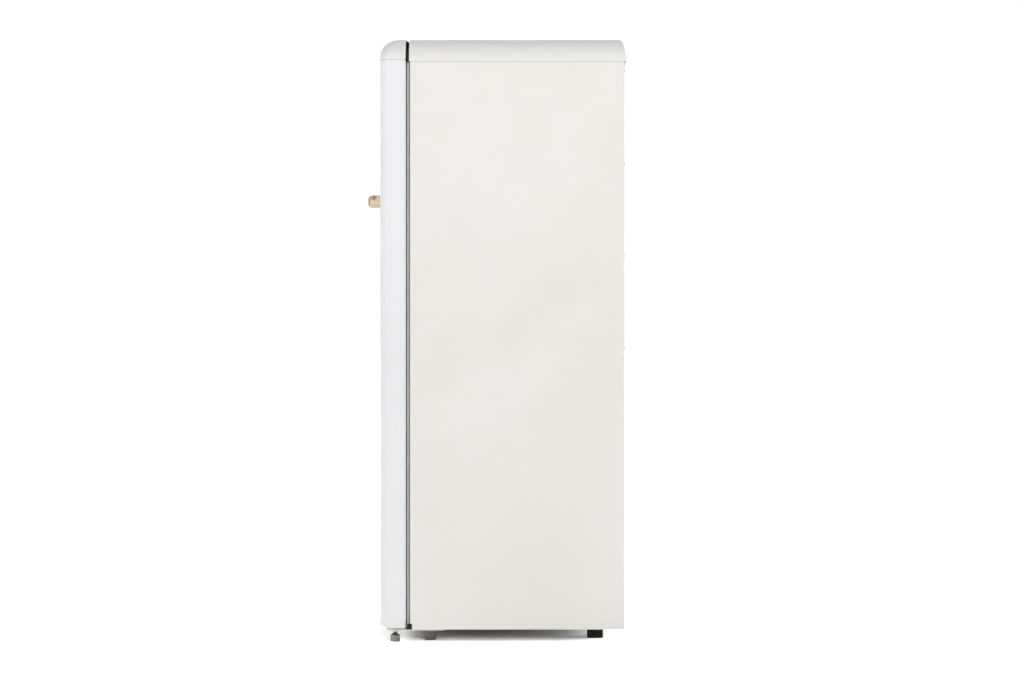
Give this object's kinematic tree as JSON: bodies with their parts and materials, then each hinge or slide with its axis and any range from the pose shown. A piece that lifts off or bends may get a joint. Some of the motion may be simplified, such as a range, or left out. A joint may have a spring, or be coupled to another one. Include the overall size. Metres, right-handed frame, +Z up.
{
  "type": "single-door refrigerator",
  "caption": "Upright single-door refrigerator with rounded retro edges, a hinged magnetic-seal door, wooden bar handle, glass shelves, door bins and a vegetable drawer.",
  "frame": {"origin": "on the floor, at the centre of the whole object's footprint, handle included", "axes": "+Z up; the door faces -Y; +X is the side with the door's hinge"},
  "size_m": [0.55, 0.632, 1.435],
  "materials": {
    "white_paint": "satin",
    "white_door_paint": "satin",
    "white_cap": "satin",
    "white_liner": "gloss",
    "white_trim": "satin",
    "back_paint": "matte",
    "galvanised_steel": "satin",
    "zinc_steel": "satin",
    "black_paint": "gloss",
    "copper_tube": "satin",
    "bare_aluminium": "satin",
    "shelf_glass": "gloss",
    "clear_plastic": "gloss",
    "frosted_plastic": "satin",
    "circuit_board": "satin",
    "black_plastic": "matte",
    "black_rubber": "matte",
    "grey_foot": "matte",
    "grey_gasket": "matte",
    "magnet": "matte",
    "foam": "matte",
    "wood": "satin"
  },
  "bodies": {
    "cabinet": {"side_panel_right": "white_paint", "side_panel_left": "white_paint", "top_plate": "white_paint", "bottom_pan": "white_paint", "back_panel": "back_paint", "compressor_base": "galvanised_steel", "top_cover": "white_cap", "inner_liner": "white_liner", "foam_insulation": "foam", "condenser_tubes": "copper_tube", "evaporator": "bare_aluminium", "glass_shelf_upper": "shelf_glass", "glass_shelf_middle": "shelf_glass", "glass_shelf_lower": "shelf_glass", "crisper_cover_glass": "shelf_glass", "shelf_trims": "white_trim", "control_housing": "white_trim", "lamp_lens": "frosted_plastic", "led_board": "circuit_board", "thermostat": "black_plastic", "compressor_shell": "black_paint", "compressor_mounting_plate": "black_paint", "compressor_grommets": "black_rubber", "compressor_bolts": "zinc_steel", "relay_cover": "black_plastic", "compressor_tubes": "copper_tube", "filter_drier": "copper_tube", "evaporation_tray": "clear_plastic", "drain_tube": "white_trim", "cord_gland": "black_plastic", "top_hinge_bracket": "zinc_steel", "lower_hinge_bracket": "zinc_steel", "left_foot_bracket": "zinc_steel", "hinge_pins": "zinc_steel", "hinge_washer": "white_trim", "hinge_gap_block": "black_plastic", "hinge_covers": "black_plastic", "bracket_fasteners": "zinc_steel", "glide_feet": "grey_foot", "rear_feet": "black_rubber"},
    "door": {"door_skin": "white_door_paint", "door_top_cap": "white_cap", "door_bottom_cap": "white_cap", "door_liner": "white_liner", "door_foam": "foam", "door_gasket": "grey_gasket", "door_bin_top": "clear_plastic", "door_bin_upper": "clear_plastic", "door_bin_lower": "clear_plastic", "door_bottle_bin": "clear_plastic", "gasket_magnets": "magnet", "hinge_bushes": "white_trim", "handle_bar": "wood", "handle_posts": "zinc_steel", "handle_screws": "zinc_steel"},
    "crisper": {"crisper_drawer": "clear_plastic", "crisper_front_trim": "white_trim"},
    "thermostat_dial": {"thermostat_knob": "white_trim"},
    "right_foot": {"front_foot_right": "grey_foot"},
    "left_foot": {"front_foot_left": "grey_foot"}
  },
  "joints": [
    {"name": "door_hinge", "type": "hinge", "parent": "cabinet", "child": "door", "pos_m": [0.251, -0.244, 0.7], "axis": [0, 0, 1], "range_deg": [0, 110]},
    {"name": "crisper_slide", "type": "slide", "parent": "cabinet", "child": "crisper", "axis": [0, -1, 0], "range_m": [0, 0.131]},
    {"name": "dial_turn", "type": "hinge", "parent": "cabinet", "child": "thermostat_dial", "pos_m": [0.06, -0.075, 1.304], "axis": [0, 1, 0], "range_deg": [0, 270]},
    {"name": "right_foot_height", "type": "slide", "parent": "cabinet", "child": "right_foot", "axis": [0, 0, 1], "range_m": [-0.01, 0.003]},
    {"name": "left_foot_height", "type": "slide", "parent": "cabinet", "child": "left_foot", "axis": [0, 0, 1], "range_m": [-0.01, 0.003]}
  ],
  "couplings": [
    {"joint": "crisper_slide", "follows": "door_hinge", "m_per_rad": 0.0677}
  ]
}
